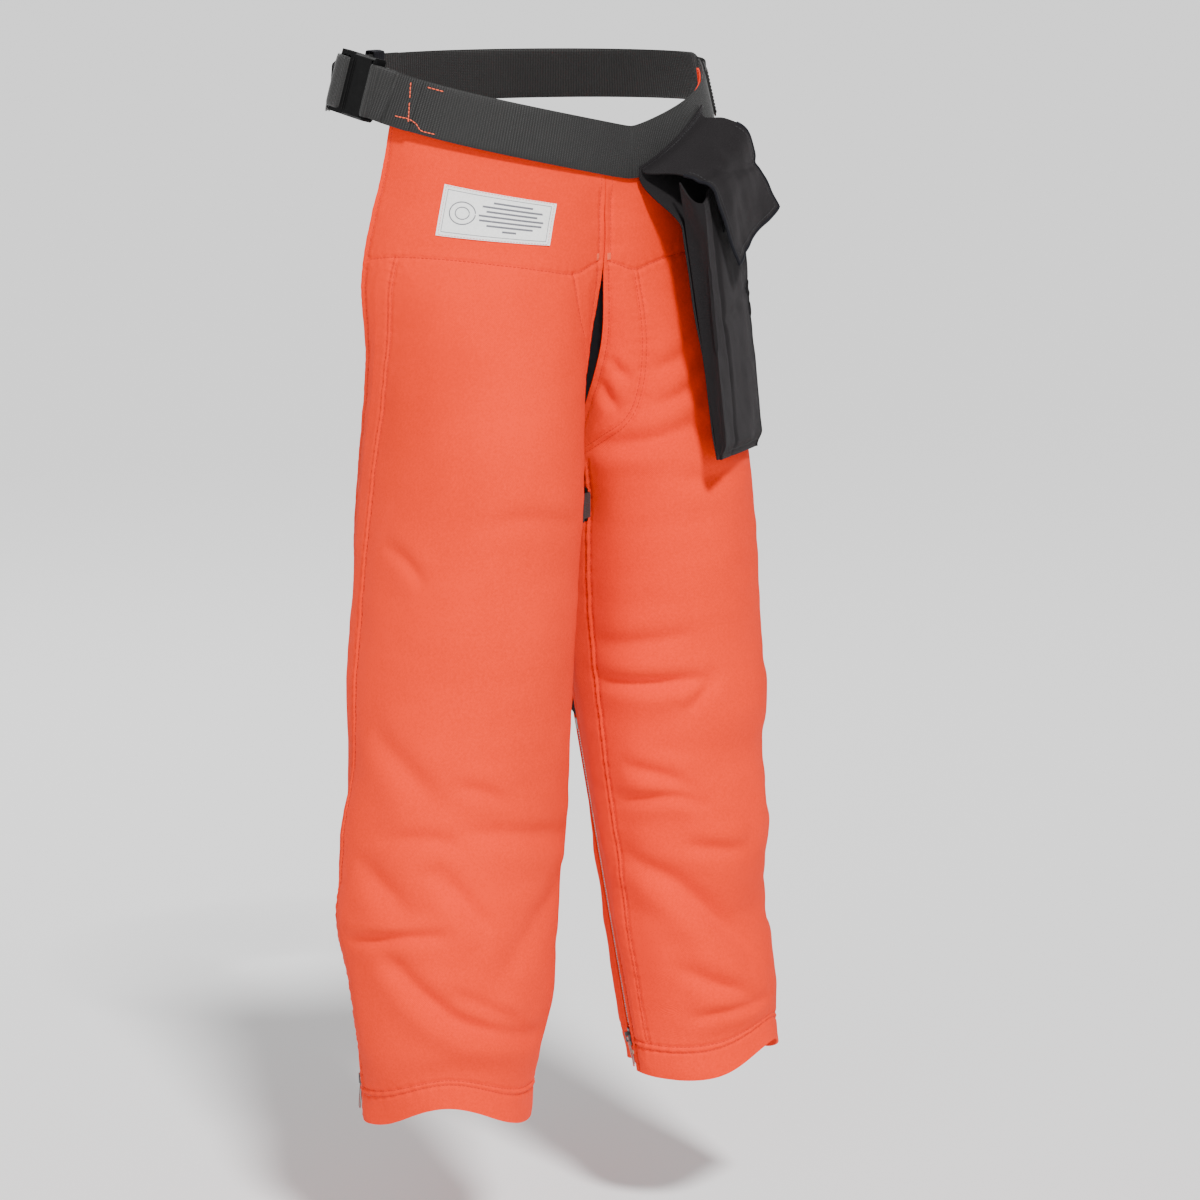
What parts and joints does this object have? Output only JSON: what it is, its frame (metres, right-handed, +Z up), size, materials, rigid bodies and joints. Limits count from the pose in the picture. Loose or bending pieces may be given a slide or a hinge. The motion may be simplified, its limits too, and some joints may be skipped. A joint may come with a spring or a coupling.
{
  "type": "chainsaw chaps",
  "caption": "Zip-leg chainsaw chaps: orange outer cloth over fibre pads and lining, side-release belt, thigh straps, rear calf wraps with zips, and a flap pouch.",
  "frame": {"origin": "middle of the waist belt, at the belt's mid height over the hips", "axes": "+Z up, the wearer faces -Y, the wearer's left is +X"},
  "size_m": [0.491, 0.3629, 1.0274],
  "materials": {
    "outer_cloth": "woven, matt",
    "pad_fibre": "loose fibre felt",
    "lining_cloth": "woven, matt",
    "webbing": "ribbed webbing, slight sheen",
    "zip_tape": "knitted tape",
    "zip_metal": "nickel, bright",
    "buckle_plastic": "moulded, satin",
    "pouch_canvas": "coarse canvas",
    "label_cloth": "smooth woven label"
  },
  "bodies": {
    "chaps": {"belt_back_strap": "webbing", "belt_buckle_socket": "buckle_plastic", "belt_front_webbing": "webbing", "belt_keeper": "webbing", "belt_socket_loop": "webbing", "belt_strap_tail": "webbing", "label": "label_cloth", "lining_left": "lining_cloth", "lining_right": "lining_cloth", "pouch_back": "pouch_canvas", "pouch_front": "pouch_canvas", "pouch_hanger": "pouch_canvas", "pouch_hook_patch": "pouch_canvas", "protective_pad_left": "pad_fibre", "protective_pad_right": "pad_fibre", "shell_left": "outer_cloth", "shell_right": "outer_cloth", "thigh_buckle_left_socket": "buckle_plastic", "thigh_buckle_right_socket": "buckle_plastic", "thigh_socket_web_left": "webbing", "thigh_socket_web_right": "webbing", "thigh_strap_left": "webbing", "thigh_strap_right": "webbing", "zip_box_left": "zip_metal", "zip_box_right": "zip_metal", "zip_stop_left": "zip_metal", "zip_stop_right": "zip_metal", "zip_tape_front_left": "zip_tape", "zip_tape_front_right": "zip_tape", "zip_teeth_front_left": "zip_metal", "zip_teeth_front_right": "zip_metal"},
    "buckle_plug": {"belt_buckle_plug": "buckle_plastic", "belt_strap_end": "webbing"},
    "buckle_prong_upper": {"belt_buckle_prong_upper": "buckle_plastic"},
    "buckle_prong_lower": {"belt_buckle_prong_lower": "buckle_plastic"},
    "thigh_plug_right": {"thigh_buckle_right_plug": "buckle_plastic", "thigh_strap_end_right": "webbing"},
    "thigh_right_prong_upper": {"thigh_buckle_right_prong_upper": "buckle_plastic"},
    "thigh_right_prong_lower": {"thigh_buckle_right_prong_lower": "buckle_plastic"},
    "thigh_plug_left": {"thigh_buckle_left_plug": "buckle_plastic", "thigh_strap_end_left": "webbing"},
    "thigh_left_prong_upper": {"thigh_buckle_left_prong_upper": "buckle_plastic"},
    "thigh_left_prong_lower": {"thigh_buckle_left_prong_lower": "buckle_plastic"},
    "zip_slider_right": {"zip_slider_right": "zip_metal"},
    "zip_pull_right": {"zip_pull_right": "zip_metal"},
    "calf_wrap_right": {"calf_wrap_right": "outer_cloth", "zip_tape_wrap_right": "zip_tape", "zip_teeth_wrap_right": "zip_metal"},
    "zip_slider_left": {"zip_slider_left": "zip_metal"},
    "zip_pull_left": {"zip_pull_left": "zip_metal"},
    "calf_wrap_left": {"calf_wrap_left": "outer_cloth", "zip_tape_wrap_left": "zip_tape", "zip_teeth_wrap_left": "zip_metal"},
    "pouch_flap": {"pouch_flap": "pouch_canvas"}
  },
  "joints": [
    {"name": "buckle_release", "type": "slide", "parent": "chaps", "child": "buckle_plug", "axis": [0.0991, 0.9911, 0.0892], "range_m": [0, 0.04]},
    {"name": "buckle_squeeze_upper", "type": "hinge", "parent": "buckle_plug", "child": "buckle_prong_upper", "pos_m": [-0.1938, 0.00833, -0.01153], "axis": [-0.9696, 0.076, 0.2327], "range_deg": [0, 8], "stiffness_Nm_per_rad": 0.1},
    {"name": "buckle_squeeze_lower", "type": "hinge", "parent": "buckle_plug", "child": "buckle_prong_lower", "pos_m": [-0.18628, 0.00465, 0.02101], "axis": [0.9696, -0.076, -0.2327], "range_deg": [0, 8], "stiffness_Nm_per_rad": 0.1},
    {"name": "thigh_release_right", "type": "slide", "parent": "chaps", "child": "thigh_plug_right", "axis": [0.1191, 0.9929, 0], "range_m": [0, 0.022]},
    {"name": "thigh_right_squeeze_upper", "type": "hinge", "parent": "thigh_plug_right", "child": "thigh_right_prong_upper", "pos_m": [-0.00304, -0.0863, -0.39076], "axis": [0.9929, -0.1191, 0], "range_deg": [0, 8], "stiffness_Nm_per_rad": 0.04},
    {"name": "thigh_right_squeeze_lower", "type": "hinge", "parent": "thigh_plug_right", "child": "thigh_right_prong_lower", "pos_m": [-0.00304, -0.0863, -0.40924], "axis": [-0.9929, 0.1191, 0], "range_deg": [0, 8], "stiffness_Nm_per_rad": 0.04},
    {"name": "thigh_release_left", "type": "slide", "parent": "chaps", "child": "thigh_plug_left", "axis": [0, 1, 0], "range_m": [0, 0.022]},
    {"name": "thigh_left_squeeze_upper", "type": "hinge", "parent": "thigh_plug_left", "child": "thigh_left_prong_upper", "pos_m": [0.02, -0.0113, -0.40924], "axis": [-1, 0, 0], "range_deg": [0, 8], "stiffness_Nm_per_rad": 0.04},
    {"name": "thigh_left_squeeze_lower", "type": "hinge", "parent": "thigh_plug_left", "child": "thigh_left_prong_lower", "pos_m": [0.02, -0.0113, -0.39076], "axis": [1, 0, 0], "range_deg": [0, 8], "stiffness_Nm_per_rad": 0.04},
    {"name": "zip_open_right", "type": "slide", "parent": "chaps", "child": "zip_slider_right", "axis": [0.0545, 0.1285, 0.9902], "range_m": [0, 0.3068]},
    {"name": "zip_pull_swing_right", "type": "hinge", "parent": "zip_slider_right", "child": "zip_pull_right", "pos_m": [-0.21524, -0.03127, -0.9582], "axis": [0.608, 0.5984, -0.5218], "range_deg": [0, 125]},
    {"name": "calf_wrap_swing_right", "type": "hinge", "parent": "chaps", "child": "calf_wrap_right", "pos_m": [-0.021, -0.053, -0.6], "axis": [-0.1252, -0.0495, -0.9909], "range_deg": [0, 70]},
    {"name": "zip_open_left", "type": "slide", "parent": "chaps", "child": "zip_slider_left", "axis": [-0.1194, 0.1168, 0.986], "range_m": [0, 0.3082]},
    {"name": "zip_pull_swing_left", "type": "hinge", "parent": "zip_slider_left", "child": "zip_pull_left", "pos_m": [0.08516, -0.05694, -0.95837], "axis": [0.3954, 0.7956, -0.4589], "range_deg": [0, 125]},
    {"name": "calf_wrap_swing_left", "type": "hinge", "parent": "chaps", "child": "calf_wrap_left", "pos_m": [0.211, -0.026, -0.6], "axis": [0.0656, -0.0472, -0.9967], "range_deg": [0, 70]},
    {"name": "pouch_flap_lift", "type": "hinge", "parent": "chaps", "child": "pouch_flap", "pos_m": [0.10397, -0.14699, -0.047], "axis": [-0.829, -0.5592, 0], "range_deg": [0, 100]}
  ],
  "couplings": [
    {"joint": "buckle_squeeze_lower", "follows": "buckle_squeeze_upper", "ratio": 1},
    {"joint": "thigh_right_squeeze_lower", "follows": "thigh_right_squeeze_upper", "ratio": 1},
    {"joint": "thigh_left_squeeze_lower", "follows": "thigh_left_squeeze_upper", "ratio": 1}
  ]
}
